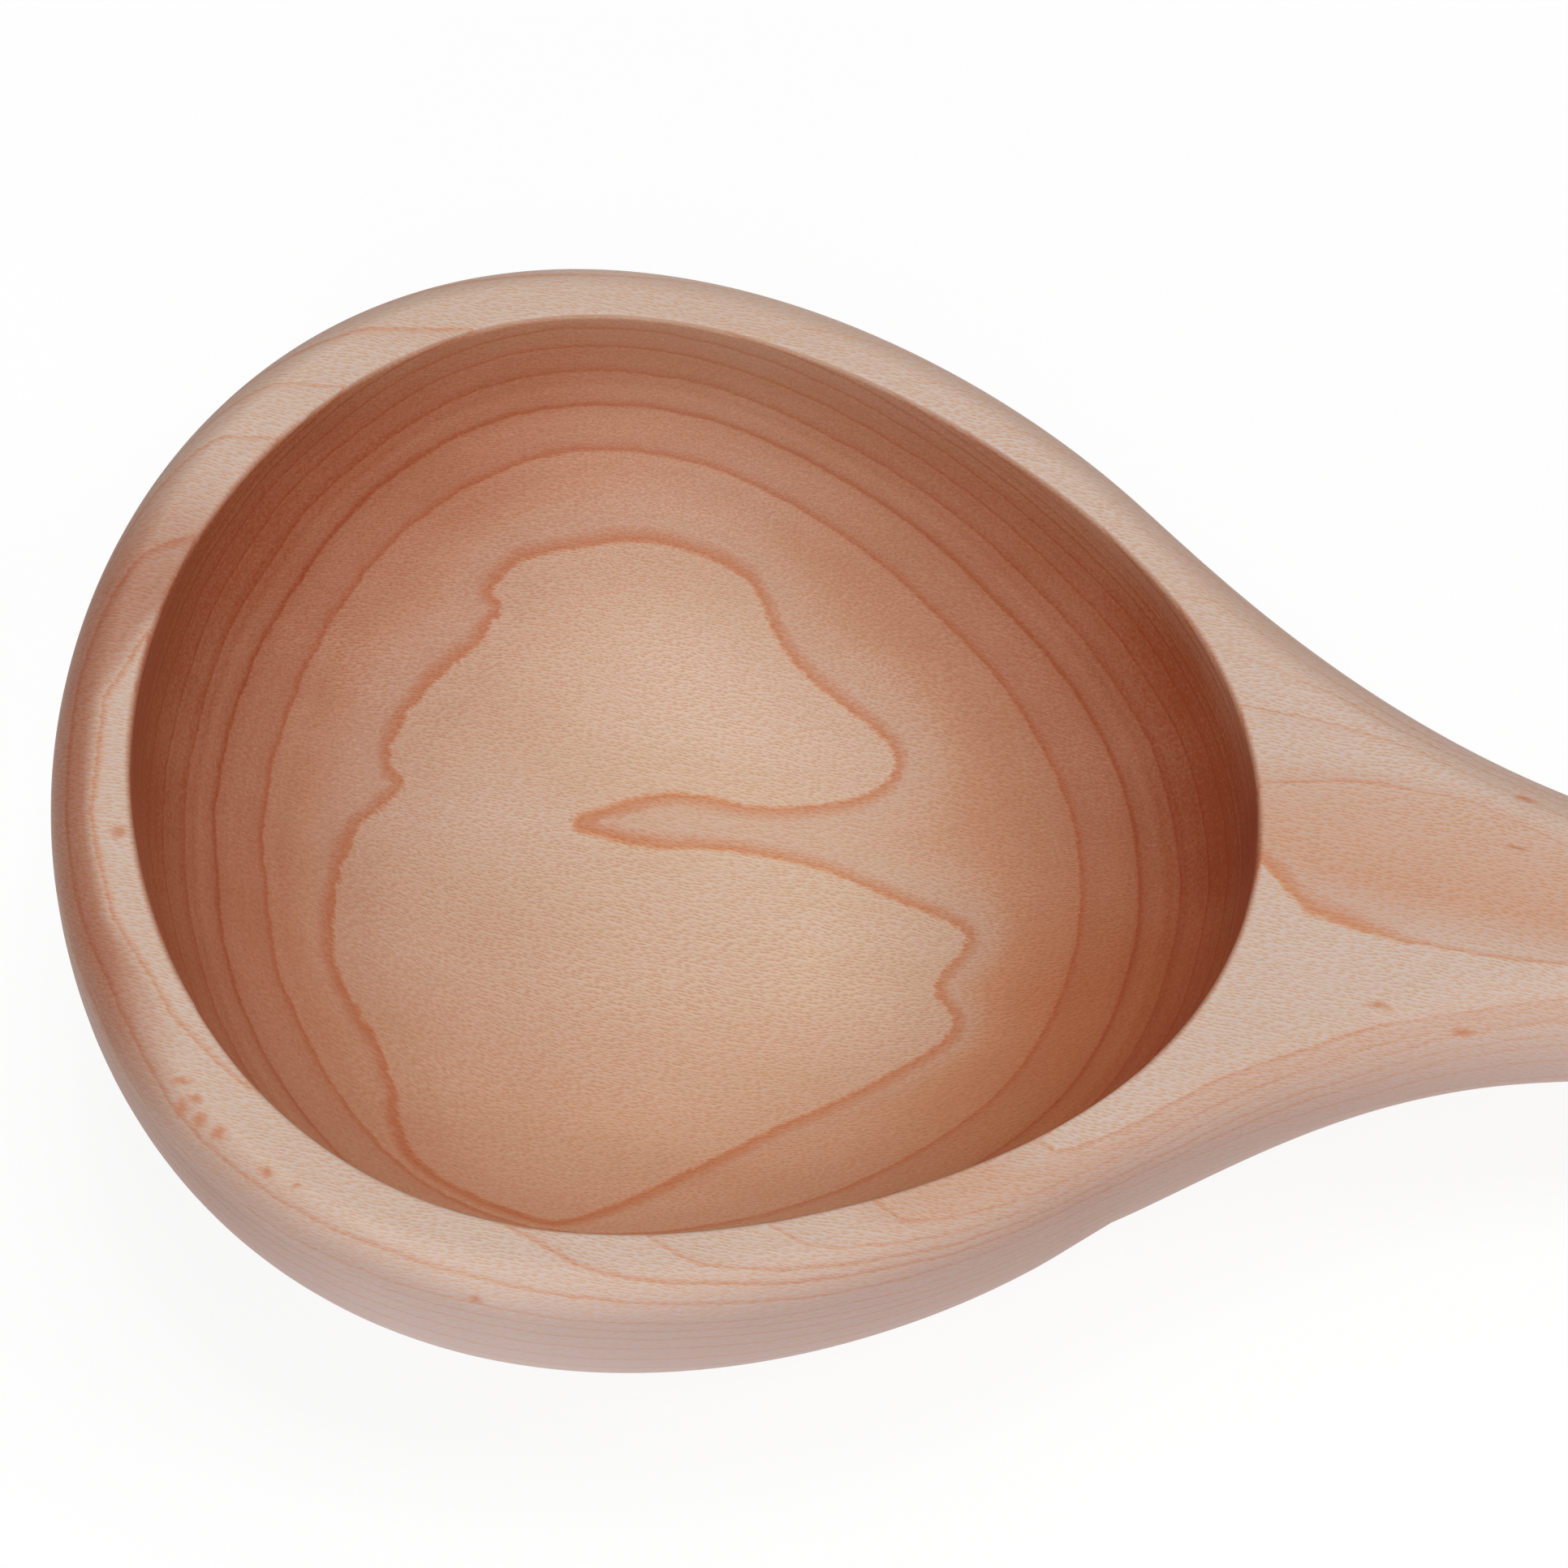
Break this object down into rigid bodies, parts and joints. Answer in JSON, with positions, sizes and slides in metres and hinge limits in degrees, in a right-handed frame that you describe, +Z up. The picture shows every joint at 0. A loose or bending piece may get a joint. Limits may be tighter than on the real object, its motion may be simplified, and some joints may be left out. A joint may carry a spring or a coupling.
{
  "type": "sampling spoon",
  "caption": "Carved one-piece maple spoon with a deep egg-shaped bowl, thick rounded rim, flared neck and long round-ended handle, for tasting from a pot or scooping samples.",
  "frame": {"origin": "middle of the flat under the bowl, on the surface that the spoon lies on", "axes": "+X from the bowl along the handle, +Y across, +Z up out of the bowl's mouth"},
  "size_m": [0.29, 0.084, 0.031],
  "materials": {
    "oiled_maple": "satin, sanded and oiled"
  },
  "bodies": {
    "root": {"spoon": "oiled_maple"}
  },
  "joints": []
}
